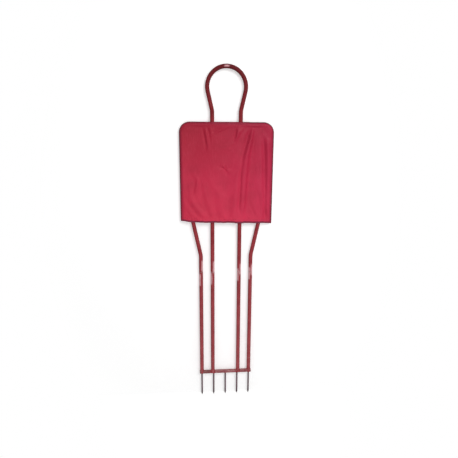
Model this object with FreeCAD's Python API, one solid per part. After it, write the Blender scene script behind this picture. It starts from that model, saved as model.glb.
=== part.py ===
"""Free-kick training mannequin: a steel-tube frame with a cloth vest, in millimetres.

The frame stands along X, its front faces -Y and +Z is up. The origin is at ground level on the
middle spike's axis, where the spike's straight shank leaves its weld under the base bar.
The lower frame stays in the ground, the upper frame plugs onto its four spigots, and the vest
pulls off over the head hoop.
"""

import FreeCAD, Part
import math
import os

from FreeCAD import Vector

# Tubes of the frame
tube_diameter = 22.0
tube_wall = 1.5
seam_height = 642.0
inner_leg_x = 75.0
outer_leg_x = 140.0

# Side tubes: hip, torso side and shoulder
hip_splay_angle = 12.0
hip_bend_radius = 120.0
side_tube_x = 232.0
shoulder_height = 1447.5
shoulder_bend_radius = 40.0

# Head hoop
crown_above_shoulder = 300.5
head_radius = 100.0
neck_flare_angle = 13.2
neck_bend_radius = 80.0

# Waist rungs between the tubes, hidden in the vest
rung_diameter = 16.0
rung_wall = 1.5
rung_drop = 462.5

# Base bar and its end plates
bar_width = 16.0
bar_height = 16.0
bar_wall = 1.5
bar_corner_radius = 1.5
bar_end_margin = 1.0
end_plate_thickness = 1.5

# Coped feet of the legs, which straddle the bar
leg_foot_gap = 4.0
cope_clearance = 0.1

# Ground spikes
spike_diameter = 10.0
spike_depth = 140.0
spike_point_length = 12.0
spike_tip_diameter = 3.0
spike_weld_leg = 2.5
spike_bevel = 2.0

# Spigots that carry the upper frame
plug_depth = 80.0
spigot_wall = 1.5
spigot_clearance = 0.2
spigot_nose_length = 3.0
spigot_nose_taper = 0.8
straight_above_spigot = 3.0
edge_break = 0.5

# Weld beads: on the upper frame, and the taller ones at the legs' feet
bead_height = 1.2
bead_spread = 2.5
foot_bead_height = 2.5

# Vest; what hangs is measured down from the shoulder tubes' centres
cloth_thickness = 1.0
cloth_clearance = 0.3
slack_left = 0.3
slack_right = 5.3
hem_drop_left = 515.5
hem_drop_right = 525.5
hem_band = 22.0
neck_slit_clearance = 7.0
neck_band = 12.0
seam_slot = 1.6
binding_stand = 1.5
fold_bite = 0.3

# Main folds of the front panel: the crest's places at the top, middle and bottom
long_fold = {"x": (126.0, 97.0, 88.0), "drop": (15.5, 197.5, 447.5), "width": 34.0, "rise": 5.0}
side_fold = {"x": (208.0, 214.0, 226.0), "drop": (57.5, 247.5, 447.5), "width": 26.0, "rise": 4.5}
neck_fold = {"x": (-124.0, -112.0, -101.0), "drop": (9.5, 57.5, 117.5), "width": 20.0, "rise": 4.0}
fold_steps = 6
fold_end_share = 0.15

# Sizes that follow from the ones above
tube_radius = tube_diameter / 2
bore_radius = tube_radius - tube_wall
spike_radius = spike_diameter / 2
rung_radius = rung_diameter / 2
bar_bottom = spike_weld_leg
bar_top = bar_bottom + bar_height
bar_half_length = outer_leg_x + tube_radius + bar_end_margin
leg_foot = bar_bottom + leg_foot_gap
spike_pitch = outer_leg_x / 2
spigot_bottom = seam_height - plug_depth
spigot_top = seam_height + plug_depth
head_height = shoulder_height + crown_above_shoulder - tube_radius - head_radius
rung_height = shoulder_height - rung_drop
hip_reach = hip_bend_radius * math.tan(math.radians(hip_splay_angle) / 2)
hip_height = spigot_top + straight_above_spigot + hip_reach
waist_height = hip_height + (side_tube_x - outer_leg_x) / math.tan(math.radians(hip_splay_angle))
cloth_inside = tube_radius + bead_height + cloth_clearance
cloth_outside = cloth_inside + cloth_thickness
hem_outside = cloth_outside + cloth_thickness
vest_left = -side_tube_x - slack_left
vest_right = side_tube_x + slack_right
neck_slit_half = head_radius + tube_radius + neck_slit_clearance
neck_top = shoulder_height + cloth_outside
cloth_reach = cloth_outside + binding_stand
cloth_bottom = shoulder_height - max(hem_drop_left, hem_drop_right) - hem_band

# Lengths this close count as the same when an edge is looked for
same = 0.01

UP = Vector(0, 0, 1)
ALONG = Vector(1, 0, 0)


def point(x, z):
    """A point in the frame's middle plane."""
    return Vector(x, 0, z)


def rounded_corner(before, corner, after, radius):
    """Start, middle and end of the arc that rounds one corner of a path."""
    back = (before - corner).normalize()
    ahead = (after - corner).normalize()
    half_turn = (math.pi - back.getAngle(ahead)) / 2
    reach = radius * math.tan(half_turn)
    centre = corner + (back + ahead).normalize() * (radius / math.cos(half_turn))
    middle = centre + (corner - centre).normalize() * radius
    return corner + back * reach, middle, corner + ahead * reach


def path_edges(points, radii):
    """Straight runs through the points, joined by an arc at each inner point."""
    edges = []
    here = points[0]
    for before, corner, after, radius in zip(points, points[1:], points[2:], radii):
        start, middle, end = rounded_corner(before, corner, after, radius)
        edges.append(Part.LineSegment(here, start).toShape())
        edges.append(Part.Arc(start, middle, end).toShape())
        here = end
    edges.append(Part.LineSegment(here, points[-1]).toShape())
    return edges


def rod_along(edges, start, radius):
    """A round bar of one radius along a path that starts upwards."""
    circle = Part.Wire([Part.Circle(start, UP, radius).toShape()])
    return Part.Wire(edges).makePipe(Part.Face(circle))


def cylinder(radius, start, end):
    """A round bar between two points."""
    span = end - start
    return Part.makeCylinder(radius, span.Length, start, span)


def tube(radius, wall, start, end):
    """A straight round tube between two points."""
    return cylinder(radius, start, end).cut(cylinder(radius - wall, start, end))


def block(x_low, x_high, y_low, y_high, z_low, z_high):
    """A box between two values on each axis."""
    return Part.makeBox(x_high - x_low, y_high - y_low, z_high - z_low, Vector(x_low, y_low, z_low))


def prism(outline, y_low, y_high):
    """An outline in the middle plane, extruded between two depths."""
    face = Part.Face(outline)
    face.translate(Vector(0, y_low, 0))
    return face.extrude(Vector(0, y_high - y_low, 0))


def polygon(points):
    return Part.makePolygon(points + points[:1])


def deburred(shape, height):
    """Break the outer edge of each tube end at this height."""
    rims = []
    for edge in shape.Edges:
        at_end = edge.BoundBox.ZLength < same and abs(edge.BoundBox.ZMin - height) < same
        round_edge = isinstance(edge.Curve, Part.Circle)
        if at_end and round_edge and abs(edge.Curve.Radius - tube_radius) < same:
            rims.append(edge)
    return shape.makeChamfer(edge_break, rims)


def mirrored(shape):
    """The same piece on the other side of the middle."""
    return shape.mirror(Vector(0, 0, 0), ALONG)


# Lower frame


def base_bar():
    outer = block(-bar_half_length, bar_half_length, -bar_width / 2, bar_width / 2, bar_bottom, bar_top)
    long_edges = [edge for edge in outer.Edges if edge.BoundBox.XLength > bar_half_length]
    outer = outer.makeFillet(bar_corner_radius, long_edges)
    half = bar_width / 2 - bar_wall
    hollow = block(
        -bar_half_length, bar_half_length, -half, half, bar_bottom + bar_wall, bar_top - bar_wall
    )
    return outer.cut(hollow)


def bar_end_plate():
    far = bar_half_length + end_plate_thickness
    plate = block(bar_half_length, far, -bar_width / 2, bar_width / 2, bar_bottom, bar_top)
    thin = [edge for edge in plate.Edges if abs(edge.BoundBox.XLength - end_plate_thickness) < same]
    return plate.makeFillet(bar_corner_radius, thin)


def leg(x):
    """A tube coped over the bar, so that its front and back run down the bar's faces."""
    shape = tube(tube_radius, tube_wall, point(x, leg_foot), point(x, seam_height))
    half = bar_width / 2 + cope_clearance
    reach = 2 * tube_radius
    notch = block(x - reach, x + reach, -half, half, leg_foot - bar_height, bar_top)
    return deburred(shape.cut(notch), seam_height)


def spigot(x):
    """Tight in the leg below the seam, loose in the upper frame's tube above it."""
    loose_radius = bore_radius - spigot_clearance
    nose = spigot_top - spigot_nose_length
    tight = cylinder(bore_radius, point(x, spigot_bottom), point(x, seam_height))
    loose = cylinder(loose_radius, point(x, seam_height), point(x, nose))
    tip = Part.makeCone(
        loose_radius, loose_radius - spigot_nose_taper, spigot_nose_length, point(x, nose), UP
    )
    bore = cylinder(loose_radius - spigot_wall, point(x, spigot_bottom), point(x, spigot_top))
    return tight.fuse([loose, tip]).cut(bore)


def spike(x):
    """A round rod, bevelled at the top for its weld and pointed at the bottom."""
    point_top = spike_point_length - spike_depth
    shank = cylinder(spike_radius, point(x, point_top), point(x, 0))
    bevel = Part.makeCone(spike_radius, spike_radius - spike_bevel, spike_weld_leg, point(x, 0), UP)
    tip = Part.makeCone(
        spike_tip_diameter / 2, spike_radius, spike_point_length, point(x, -spike_depth), UP
    )
    return shank.fuse([bevel, tip])


def spike_weld(x):
    """The bead that fills the spike's bevel, up to the bar's underside."""
    bead = Part.makeCone(
        spike_radius, spike_radius + spike_weld_leg, spike_weld_leg, point(x, 0), UP
    )
    core = Part.makeCone(spike_radius, spike_radius - spike_bevel, spike_weld_leg, point(x, 0), UP)
    return bead.cut(core)


def leg_weld(x):
    """Beads where the leg stands on the bar, and under its front and back lips."""
    flat_half = bar_width / 2 - bar_corner_radius
    reach = tube_radius + bead_spread
    bead_top = bar_top + foot_bead_height
    ring = Part.makeCone(reach, tube_radius, foot_bead_height, point(x, bar_top), UP)
    ring = ring.cut(cylinder(tube_radius, point(x, bar_top), point(x, bead_top)))
    ring = ring.common(block(x - reach, x + reach, -flat_half, flat_half, bar_top, bead_top))
    foot = Part.makeCone(
        bore_radius, tube_radius, foot_bead_height, point(x, leg_foot - foot_bead_height), UP
    )
    foot = foot.cut(
        block(x - reach, x + reach, -bar_width / 2, bar_width / 2, bar_bottom, bar_top)
    )
    return ring.Solids + foot.Solids


# Upper frame


def hoop_edges():
    """One upright's path, the head's arc and the other upright's path."""
    flare = math.radians(neck_flare_angle)
    tangent_x = head_radius * math.cos(flare)
    tangent_z = head_height - head_radius * math.sin(flare)
    bend_z = tangent_z - (tangent_x - inner_leg_x) / math.tan(flare)
    left = [point(-inner_leg_x, seam_height), point(-inner_leg_x, bend_z), point(-tangent_x, tangent_z)]
    right = [point(-p.x, p.z) for p in reversed(left)]
    crown = Part.Arc(left[-1], point(0, head_height + head_radius), right[0]).toShape()
    return path_edges(left, [neck_bend_radius]) + [crown] + path_edges(right, [neck_bend_radius])


def head_hoop():
    edges = hoop_edges()
    start = point(-inner_leg_x, seam_height)
    shape = rod_along(edges, start, tube_radius).cut(rod_along(edges, start, bore_radius))
    return deburred(shape, seam_height)


def side_rod(radius):
    """The right side tube's path from the seam to the inner upright, as a round bar."""
    points = [
        point(outer_leg_x, seam_height),
        point(outer_leg_x, hip_height),
        point(side_tube_x, waist_height),
        point(side_tube_x, shoulder_height),
        point(inner_leg_x, shoulder_height),
    ]
    edges = path_edges(points, [hip_bend_radius, hip_bend_radius, shoulder_bend_radius])
    return rod_along(edges, points[0], radius)


def upright(radius):
    """The right inner upright from the seam to above the shoulder, as a round bar."""
    return cylinder(radius, point(inner_leg_x, seam_height), point(inner_leg_x, head_height - head_radius))


def side_tube():
    """The right side tube, coped onto the inner upright."""
    shape = side_rod(tube_radius).cut(side_rod(bore_radius)).cut(upright(tube_radius))
    return deburred(shape.Solids[0], seam_height)


def neck_bar():
    left, right = point(-inner_leg_x, shoulder_height), point(inner_leg_x, shoulder_height)
    shape = tube(tube_radius, tube_wall, left, right)
    return shape.cut([upright(tube_radius), mirrored(upright(tube_radius))])


def side_x(height):
    """The side tube's centre at a height between the hip and the waist."""
    return outer_leg_x + (height - hip_height) * math.tan(math.radians(hip_splay_angle))


def rung(left, right, hosts):
    """A cross tube between two points, coped onto the tubes that it joins."""
    return tube(rung_radius, rung_wall, left, right).cut(hosts)


def weld_bead(branch_radius, start, end, host, grown_host):
    """The bead where a straight branch meets its host."""
    bead = cylinder(branch_radius + bead_height, start, end).common(grown_host)
    return bead.cut([cylinder(branch_radius, start, end), host]).Solids


def torso_bars():
    """Rungs and neck bar with their weld beads, and the beads at the shoulders."""
    host = upright(tube_radius)
    grown = upright(tube_radius + bead_spread)
    side = side_rod(tube_radius)
    grown_side = side_rod(tube_radius + bead_spread)
    middle = point(0, rung_height)
    inner = point(inner_leg_x, rung_height)
    outer = point(side_x(rung_height), rung_height)
    neck = point(0, shoulder_height)
    neck_side = point(inner_leg_x, shoulder_height)
    shoulder = point(side_tube_x - shoulder_bend_radius, shoulder_height)

    right_rung = rung(inner, outer, [host, side])
    parts = {
        "waist_rung_middle": [rung(Vector(-inner.x, 0, inner.z), inner, [host, mirrored(host)])],
        "waist_rung_right": [right_rung],
        "waist_rung_left": [mirrored(right_rung)],
        "neck_bar": [neck_bar()],
    }
    rung_beads = weld_bead(rung_radius, middle, inner, host, grown)
    rung_beads += weld_bead(rung_radius, inner, outer, host, grown)
    rung_beads += weld_bead(rung_radius, inner, outer, side, grown_side)
    neck_beads = weld_bead(tube_radius, neck, neck_side, host, grown)
    shoulder_beads = weld_bead(tube_radius, neck_side, shoulder, host, grown)
    for name, beads in (
        ("rung_welds", rung_beads),
        ("neck_bar_welds", neck_beads),
        ("shoulder_welds", shoulder_beads),
    ):
        parts[name] = beads + [mirrored(bead) for bead in beads]
    return parts


# Vest


def edge_path(side, neck_x):
    """The line that the vest's rounded edge follows: up a side and along the shoulder."""
    points = [
        point(side, cloth_bottom),
        point(side, shoulder_height),
        point(neck_x, shoulder_height),
    ]
    return path_edges(points, [shoulder_bend_radius])


def edge_roll(side, neck_x, facing, inside, outside):
    """A quarter-round strip of cloth from the panel's face round to its side seam."""
    outward = math.copysign(1, side)
    centre = point(side, cloth_bottom)

    def on_arc(radius, degrees):
        angle = math.radians(degrees)
        return centre + Vector(outward * radius * math.sin(angle), facing * radius * math.cos(angle), 0)

    edges = [
        Part.Arc(on_arc(inside, 0), on_arc(inside, 45), on_arc(inside, 90)).toShape(),
        Part.LineSegment(on_arc(inside, 90), on_arc(outside, 90)).toShape(),
        Part.Arc(on_arc(outside, 90), on_arc(outside, 45), on_arc(outside, 0)).toShape(),
        Part.LineSegment(on_arc(outside, 0), on_arc(inside, 0)).toShape(),
    ]
    return Part.Wire(edge_path(side, neck_x)).makePipe(Part.Face(Part.Wire(edges)))


def panel_outline():
    """The flat part of a panel, with its raised tab between the neck slit's ends."""
    left_edges = edge_path(vest_left, -neck_slit_half)
    right_edges = edge_path(vest_right, neck_slit_half)
    tab = [
        point(-neck_slit_half, shoulder_height),
        point(-neck_slit_half, neck_top),
        point(neck_slit_half, neck_top),
        point(neck_slit_half, shoulder_height),
    ]
    tab_edges = [Part.LineSegment(a, b).toShape() for a, b in zip(tab, tab[1:])]
    foot = Part.LineSegment(point(vest_left, cloth_bottom), point(vest_right, cloth_bottom)).toShape()
    return Part.Wire(Part.__sortEdges__(left_edges + tab_edges + right_edges + [foot]))


def cloth_layer(facing, inside, outside):
    """One side of the vest between two distances from the middle plane, open at the hem."""
    near, far = sorted((facing * inside, facing * outside))
    flat = prism(panel_outline(), near, far)
    rolls = [
        edge_roll(vest_left, -neck_slit_half, facing, inside, outside),
        edge_roll(vest_right, neck_slit_half, facing, inside, outside),
    ]
    slot = block(
        vest_left - 2 * cloth_reach, vest_right + 2 * cloth_reach,
        -seam_slot / 2, seam_slot / 2,
        cloth_bottom - hem_band, neck_top + cloth_reach,
    )
    return flat.fuse(rolls).removeSplitter().cut(slot)


def hem_line(x, lift):
    """The hem's height at one place across the vest."""
    share = (x - vest_left) / (vest_right - vest_left)
    return shoulder_height - hem_drop_left + share * (hem_drop_left - hem_drop_right) + lift


def hem_slab(low, high):
    """Everything between two lines that run parallel to the hem."""
    left = vest_left - 2 * cloth_reach
    right = vest_right + 2 * cloth_reach
    corners = [
        point(left, hem_line(left, low)),
        point(right, hem_line(right, low)),
        point(right, hem_line(right, high)),
        point(left, hem_line(left, high)),
    ]
    return prism(polygon(corners), -2 * cloth_reach, 2 * cloth_reach)


def fold(line):
    """A soft ridge on the front panel, lofted along its crest."""
    base_y = fold_bite - cloth_outside
    sections = []
    for step in range(fold_steps + 1):
        t = step / fold_steps
        shares = ((1 - t) ** 2, 2 * t * (1 - t), t ** 2)
        x = sum(share * value for share, value in zip(shares, line["x"]))
        z = shoulder_height - sum(share * value for share, value in zip(shares, line["drop"]))
        swell = max(math.sin(math.pi * t), fold_end_share)
        half = line["width"] / 2 * (1 + swell) / 2
        foot_left, foot_right = Vector(x - half, base_y, z), Vector(x + half, base_y, z)
        crest = Vector(x, base_y - fold_bite - line["rise"] * swell, z)
        arc = Part.Arc(foot_left, crest, foot_right).toShape()
        chord = Part.LineSegment(foot_right, foot_left).toShape()
        sections.append(Part.Wire([arc, chord]))
    return Part.makeLoft(sections, True, False)


def below_hem():
    """Everything that the hem line cuts away."""
    return hem_slab(-2 * hem_band - abs(hem_drop_left - hem_drop_right), 0)


def panel(facing):
    return cloth_layer(facing, cloth_inside, cloth_outside).cut(below_hem())


def front_panel():
    return panel(-1).fuse([fold(long_fold), fold(side_fold), fold(neck_fold)])


def hem(facing):
    return cloth_layer(facing, cloth_outside, hem_outside).common(hem_slab(0, hem_band))


def neck_hem(facing):
    near, far = sorted((facing * cloth_outside, facing * hem_outside))
    return block(-neck_slit_half, neck_slit_half, near, far, neck_top - neck_band, neck_top)


def edge_binding(side, neck_x):
    """The bound seam that joins the two panels up one side and along the shoulder."""
    outward = math.copysign(1, side)
    near = side + outward * cloth_inside
    far = side + outward * cloth_reach
    low = cloth_bottom
    corners = [
        Vector(near, -seam_slot / 2, low),
        Vector(far, -seam_slot / 2, low),
        Vector(far, seam_slot / 2, low),
        Vector(near, seam_slot / 2, low),
    ]
    strip = Part.Wire(edge_path(side, neck_x)).makePipe(Part.Face(polygon(corners)))
    return strip.cut(below_hem())


def all_parts():
    """Every node's solids under the node's name."""
    legs = {
        "leg_outer_left": -outer_leg_x,
        "leg_inner_left": -inner_leg_x,
        "leg_inner_right": inner_leg_x,
        "leg_outer_right": outer_leg_x,
    }
    spikes = {
        "spike_outer_left": -2 * spike_pitch,
        "spike_inner_left": -spike_pitch,
        "spike_middle": 0.0,
        "spike_inner_right": spike_pitch,
        "spike_outer_right": 2 * spike_pitch,
    }
    end_plate = bar_end_plate()
    right_side_tube = side_tube()
    parts = {
        "base_bar": [base_bar()],
        "bar_end_plate_right": [end_plate],
        "bar_end_plate_left": [mirrored(end_plate)],
        "leg_welds": [],
        "spike_welds": [],
        "head_hoop": [head_hoop()],
        "side_tube_right": [right_side_tube],
        "side_tube_left": [mirrored(right_side_tube)],
        "vest_front_panel": [front_panel()],
        "vest_back_panel": [panel(1)],
        "hem_front": [hem(-1)],
        "hem_back": [hem(1)],
        "neck_hem_front": [neck_hem(-1)],
        "neck_hem_back": [neck_hem(1)],
        "edge_binding_left": [edge_binding(vest_left, -neck_slit_half)],
        "edge_binding_right": [edge_binding(vest_right, neck_slit_half)],
    }
    for name, x in legs.items():
        parts[name] = [leg(x)]
        parts[name.replace("leg", "spigot")] = [spigot(x)]
        parts["leg_welds"] += leg_weld(x)
    for name, x in spikes.items():
        parts[name] = [spike(x)]
        parts["spike_welds"].append(spike_weld(x))
    parts.update(torso_bars())
    return parts


def write_parts():
    os.makedirs("parts", exist_ok=True)
    for name, shapes in sorted(all_parts().items()):
        solids = [solid for shape in shapes for solid in shape.Solids]
        shape = solids[0] if len(solids) == 1 else Part.makeCompound(solids)
        shape.exportStep(f"parts/{name}.step")
        box = shape.BoundBox
        print(
            f"{name}: {len(solids)} solid(s), valid {shape.isValid()}, {shape.Volume:.0f} mm3, "
            f"x {box.XMin:.1f}..{box.XMax:.1f}, y {box.YMin:.1f}..{box.YMax:.1f}, "
            f"z {box.ZMin:.1f}..{box.ZMax:.1f}"
        )


write_parts()
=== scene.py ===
"""How the free-kick mannequin looks: enamelled steel tubes, ground spikes and a satin vest.

Metres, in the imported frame: X runs along the base bar, the front faces -Y and +Z is up.
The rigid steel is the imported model's own, with its finishes. The weld beads, the vest, its hems,
its bound seams and their stitches are made here.
"""

import math

import bpy
import numpy as np
from mathutils import Matrix, Vector
from mathutils.bvhtree import BVHTree


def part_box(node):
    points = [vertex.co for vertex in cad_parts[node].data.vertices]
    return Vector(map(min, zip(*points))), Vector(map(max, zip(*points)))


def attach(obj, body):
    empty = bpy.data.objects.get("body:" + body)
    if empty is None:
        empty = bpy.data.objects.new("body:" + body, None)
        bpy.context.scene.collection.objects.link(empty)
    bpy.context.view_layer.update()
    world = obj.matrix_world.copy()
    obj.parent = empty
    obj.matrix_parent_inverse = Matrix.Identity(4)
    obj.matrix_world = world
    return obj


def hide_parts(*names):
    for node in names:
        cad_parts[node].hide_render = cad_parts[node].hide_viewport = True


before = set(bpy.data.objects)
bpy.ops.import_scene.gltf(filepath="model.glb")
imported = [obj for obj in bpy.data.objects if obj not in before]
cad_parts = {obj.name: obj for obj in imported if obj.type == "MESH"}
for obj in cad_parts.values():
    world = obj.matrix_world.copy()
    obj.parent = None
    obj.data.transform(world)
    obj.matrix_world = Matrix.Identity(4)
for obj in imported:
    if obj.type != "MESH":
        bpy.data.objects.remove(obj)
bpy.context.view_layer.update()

MM = 0.001


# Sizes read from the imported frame


def middle(node):
    low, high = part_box(node)
    return (low + high) / 2


inner_leg_x = middle("leg_inner_right").x
outer_leg_x = middle("leg_outer_right").x
seam_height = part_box("leg_outer_right")[1].z
leg_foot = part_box("leg_outer_right")[0].z
tube_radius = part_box("leg_outer_right")[1].y
bar_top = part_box("base_bar")[1].z
bar_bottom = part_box("base_bar")[0].z
bar_half_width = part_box("base_bar")[1].y
spike_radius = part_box("spike_middle")[1].y
spike_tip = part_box("spike_middle")[0].z
spike_x = [-outer_leg_x, -outer_leg_x / 2, 0, outer_leg_x / 2, outer_leg_x]
leg_x = [-outer_leg_x, -inner_leg_x, inner_leg_x, outer_leg_x]
shoulder_height = middle("neck_bar").z
rung_height = middle("waist_rung_middle").z
rung_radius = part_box("waist_rung_middle")[1].y
side_tube_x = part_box("side_tube_right")[1].x - tube_radius
hoop_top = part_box("head_hoop")[1].z
vest_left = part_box("vest_front_panel")[0].x
vest_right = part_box("vest_front_panel")[1].x
vest_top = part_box("vest_front_panel")[1].z
hem_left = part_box("edge_binding_left")[0].z
hem_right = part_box("edge_binding_right")[0].z
hem_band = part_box("hem_front")[1].z - hem_left
neck_band = vest_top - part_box("neck_hem_front")[0].z
neck_slit_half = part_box("neck_hem_front")[1].x

# The side tubes' bends, as in the part's source, because no node's box gives them
shoulder_bend = 40 * MM
hip_height = 737.6 * MM
hip_splay = math.radians(12)
waist_height = hip_height + (side_tube_x - outer_leg_x) / math.tan(hip_splay)

# Cloth, seams and thread
cloth_gap = 13.0 * MM
cloth_thickness = 0.8 * MM
shoulder_corner = 53.0 * MM
grid_spacing = 6.0 * MM
roll_steps = 3
tube_clearance = 0.7 * MM
thread_radius = 0.35 * MM
stitch_pitch = 4.5 * MM


# Camera, as it was fitted to the tubes in the photograph


camera_azimuth = math.radians(-4.64)
camera_elevation = math.radians(12.958)
camera_roll = math.radians(0.377)
camera_distance = 2.2
camera_target = Vector((0.016934, 0, 0.889391))
sensor_width = 36.0
lens_share = 0.8661


def set_camera():
    back = Vector((
        math.sin(camera_azimuth) * math.cos(camera_elevation),
        -math.cos(camera_azimuth) * math.cos(camera_elevation),
        math.sin(camera_elevation),
    ))
    level = Vector((math.cos(camera_azimuth), math.sin(camera_azimuth), 0))
    upright = back.cross(level)
    right = level * math.cos(camera_roll) + upright * math.sin(camera_roll)
    up = upright * math.cos(camera_roll) - level * math.sin(camera_roll)
    lens = bpy.data.cameras.new("photo_camera")
    lens.sensor_width = sensor_width
    lens.lens = sensor_width * lens_share
    lens.clip_end = 50
    camera = bpy.data.objects.new("photo_camera", lens)
    turn = Matrix((right, up, back)).transposed().to_4x4()
    camera.matrix_world = Matrix.Translation(camera_target + back * camera_distance) @ turn
    bpy.context.scene.collection.objects.link(camera)
    bpy.context.scene.camera = camera


# Meshes


def new_object(name, points, faces):
    """A mesh object, linked to the scene."""
    mesh = bpy.data.meshes.new(name)
    mesh.from_pydata([tuple(point) for point in points], [], [tuple(face) for face in faces])
    placed = bpy.data.objects.new(name, mesh)
    bpy.context.scene.collection.objects.link(placed)
    return placed


def new_piece(name, points, faces, body, slot, material):
    """A smooth piece of the mannequin, riding on a body."""
    piece = new_object(name, points, faces)
    piece.data.validate()
    piece.data.shade_smooth()
    piece.data.materials.append(material)
    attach(piece, body)
    return piece


def numbered(grid):
    """The vertex numbers of a grid of points, in the grid's own shape."""
    return np.arange(grid.shape[0] * grid.shape[1]).reshape(grid.shape[:2])


def grid_faces(index):
    """Quads between the neighbours of a grid of vertex numbers."""
    corners = (index[:-1, :-1], index[:-1, 1:], index[1:, 1:], index[1:, :-1])
    return np.stack(corners, axis=-1).reshape(-1, 4).tolist()


def unit(vectors):
    return vectors / np.maximum(np.linalg.norm(vectors, axis=-1, keepdims=True), 1e-12)


def path_tangents(points):
    return unit(np.gradient(points, axis=0))


def path_lengths(points):
    """How far along a path each of its points lies."""
    steps = np.linalg.norm(np.diff(points, axis=0), axis=-1)
    return np.concatenate([np.zeros_like(steps[:1]), np.cumsum(steps, axis=0)])


def read_along(lengths, values, wanted):
    """Vectors given along a path, read at the wanted lengths."""
    return np.stack([np.interp(wanted, lengths, values[:, axis]) for axis in range(3)], axis=-1)


def all_along(path, direction):
    """One direction, for every point of a path."""
    return np.tile(np.array(direction, float), (len(path), 1))


def circle(corners):
    """Points round a circle of radius 1, in its own plane."""
    angles = np.linspace(0, 2 * math.pi, corners, endpoint=False)
    return np.stack([np.cos(angles), np.sin(angles)], axis=-1)


def ringed(rings, closed_path=False):
    """Points and faces of a closed surface through rings of points, its faces looking outward."""
    count, around = rings.shape[:2]
    index = numbered(rings)
    index = np.concatenate([index, index[:, :1]], axis=1)
    caps = [list(range(around))[::-1], list(range((count - 1) * around, count * around))]
    if closed_path:
        index = np.concatenate([index, index[:1]], axis=0)
        caps = []
    points = rings.reshape(-1, 3)
    quads = np.array(grid_faces(index))
    corners = points[quads]
    looking = np.cross(corners[:, 2] - corners[:, 0], corners[:, 3] - corners[:, 1])
    faces = quads.tolist() + caps
    if np.sum((corners.mean(axis=1) - points.mean(axis=0)) * looking) < 0:
        faces = [face[::-1] for face in faces]
    return points, faces


def swept(path, side, up, profile, closed_path=False):
    """Points and faces of a closed profile carried along a path.

    profile holds (side, up) offsets, one array per path point, so that it can swell and ripple.
    """
    rings = path[:, None] + profile[..., :1] * side[:, None] + profile[..., 1:] * up[:, None]
    return ringed(rings, closed_path)


def round_rod(path, radius, corners):
    """Points and faces of a round rod along a path that doesn't leave its upright plane."""
    side = all_along(path, (0, 1, 0))
    up = np.cross(path_tangents(path), side)
    return swept(path, side, up, np.tile(circle(corners) * radius, (len(path), 1, 1)))


class Heap:
    """Points and faces of several shapes, gathered for one piece."""

    def __init__(self):
        self.points = []
        self.faces = []

    def add(self, points, faces):
        start = len(self.points)
        self.points += [tuple(p) for p in points]
        self.faces += [tuple(start + corner for corner in face) for face in faces]


# Weld beads


# Each bead's width and height, and the half length of the short ones under the legs' lips
leg_bead = (4.2 * MM, 2.0 * MM)
lip_bead = (4.4 * MM, 2.2 * MM)
lip_half = 6.6 * MM
spike_bead = (3.4 * MM, 1.4 * MM)
tube_bead = (2.2 * MM, 1.6 * MM)
weld_pitch = 2.4 * MM
weld_step = 0.4 * MM
weld_corners = 10


def ripple(places):
    """Height of the stacked pools of metal along a bead, from 0 to 1."""
    phase = (places / weld_pitch) % 1.0
    return np.sqrt(1 - (1 - phase) ** 2)


def weld_bead(path, side, up, size, closed_path=False):
    """A hand-laid bead: half-round, with a ripple for each pool of metal."""
    width, height = size
    places = path_lengths(path)
    swell = 0.86 + 0.14 * ripple(places) + 0.05 * np.sin(places / (7.3 * MM))
    ring = circle(weld_corners) * [width / 2, height]
    return swept(path, side, up, ring[None] * swell[:, None, None], closed_path)


def arc_angles(radius, low, high):
    count = max(int(radius * (high - low) / weld_step), 8)
    return np.linspace(low, high, count)


def level_directions(angles):
    return np.stack([np.cos(angles), np.sin(angles), 0 * angles], axis=-1)


def bead_piece(name, node, heap, body, material):
    """The gathered beads as one piece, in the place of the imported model's plain ones."""
    piece = new_piece(name, heap.points, heap.faces, body, "frame_paint", material)
    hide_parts(node)


def leg_welds(material):
    """Where each leg stands on the bar: two arcs on its top, and one under each lip."""
    heap = Heap()
    bead_radius = tube_radius + 0.7 * MM
    half_angle = math.asin((bar_half_width - 1.4 * MM) / bead_radius)
    depth = bar_half_width + 0.6 * MM
    for x in leg_x:
        for turn in (0, math.pi):
            outward = level_directions(arc_angles(bead_radius, turn - half_angle, turn + half_angle))
            path = outward * bead_radius + [x, 0, bar_top + 0.5 * MM]
            heap.add(*weld_bead(path, outward, all_along(path, (0, 0, 1)), leg_bead))
        for facing in (-1, 1):
            across = np.linspace(-lip_half, lip_half, 40)
            path = np.stack([x + across, 0 * across + facing * depth, 0 * across + leg_foot], axis=-1)
            away = all_along(path, (0, facing, 0))
            heap.add(*weld_bead(path, away, all_along(path, (0, 0, -1)), lip_bead))
    bead_piece("leg_weld_beads", "leg_welds", heap, "leg_frame", material)


def spike_welds(material):
    """A ring round each spike, under the bar."""
    heap = Heap()
    bead_radius = spike_radius + 0.6 * MM
    for x in spike_x:
        outward = level_directions(arc_angles(bead_radius, 0, 2 * math.pi)[:-1])
        path = outward * bead_radius + [x, 0, bar_bottom - spike_bead[1]]
        heap.add(*weld_bead(path, outward, all_along(path, (0, 0, 1)), spike_bead, closed_path=True))
    bead_piece("spike_weld_beads", "spike_welds", heap, "leg_frame", material)


def saddle(radius, host_x, side, height, lean):
    """Where a level tube meets a standing one, with the bead's outward and forward directions.

    lean is how far the standing tube leans sideways for each metre up.
    """
    angles = arc_angles(radius, 0, 2 * math.pi)[:-1]
    y = radius * np.sin(angles)
    rise = radius * np.cos(angles)
    z = height + rise
    across = np.sqrt(np.maximum(tube_radius ** 2 - y ** 2, 0)) * math.hypot(1, lean)
    x = host_x + lean * rise + side * across
    path = np.stack([x, y, z], axis=-1)
    outward = np.stack([0 * angles, np.sin(angles), np.cos(angles)], axis=-1)
    along = all_along(path, (side, 0, 0))
    return path + along * 0.3 * MM, outward, along


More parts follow.
